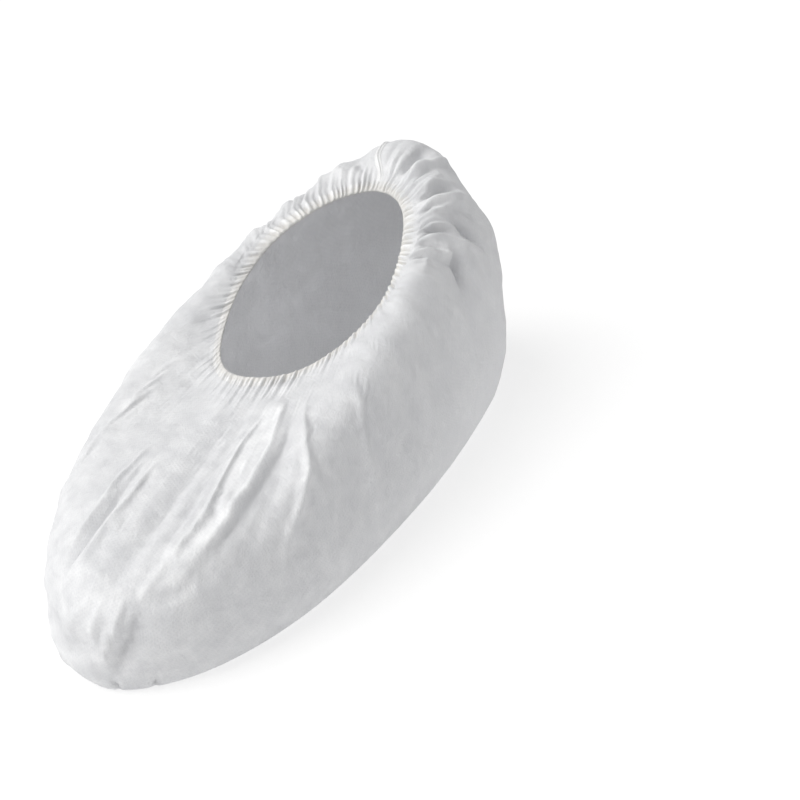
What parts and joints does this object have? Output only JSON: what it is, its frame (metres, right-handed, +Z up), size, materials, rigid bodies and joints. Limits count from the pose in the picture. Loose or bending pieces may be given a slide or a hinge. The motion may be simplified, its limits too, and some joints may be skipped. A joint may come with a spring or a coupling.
{
  "type": "disposable shoe cover",
  "caption": "Disposable nonwoven shoe cover: a soft hollow slipper-shaped pouch with a flat sole and a gathered elastic opening, pulled on over footwear.",
  "frame": {"origin": "middle of the cover's footprint, on the floor under its sole", "axes": "+Z up through the opening, -Y towards the toe, +Y towards the heel, +X towards the wearer's left"},
  "size_m": [0.1162, 0.2976, 0.1049],
  "materials": {
    "nonwoven": "white spunbond nonwoven with fine bond points, matt and slightly see-through",
    "hem": "gathered nonwoven rolled over elastic, off-white",
    "seam": "welded nonwoven, pressed flat"
  },
  "bodies": {
    "root": {"fabric_body": "nonwoven", "elastic_hem": "hem", "heel_seam": "seam"}
  },
  "joints": []
}
